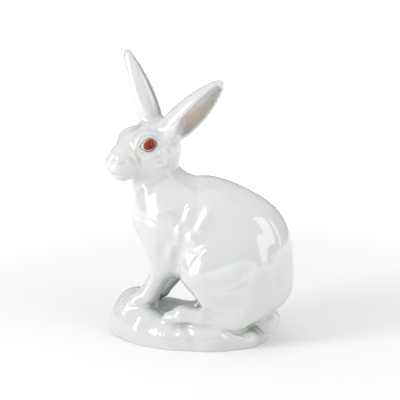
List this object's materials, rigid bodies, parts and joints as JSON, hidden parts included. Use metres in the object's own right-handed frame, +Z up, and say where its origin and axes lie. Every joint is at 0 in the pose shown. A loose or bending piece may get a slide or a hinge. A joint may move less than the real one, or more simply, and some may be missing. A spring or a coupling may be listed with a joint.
{
  "type": "hare figurine",
  "caption": "Seated hare figure on a low leafy mound, cast whole in glazed white porcelain, with raised ears, a turned head and painted red eyes.",
  "frame": {"origin": "middle of the whole figure's length and width, on the surface it stands on", "axes": "+Z up through the ears; the body faces -X and its left side faces -Y"},
  "size_m": [0.1961, 0.1176, 0.2978],
  "materials": {
    "glazed_porcelain": "gloss"
  },
  "bodies": {
    "root": {"porcelain_hare": "glazed_porcelain"}
  },
  "joints": []
}
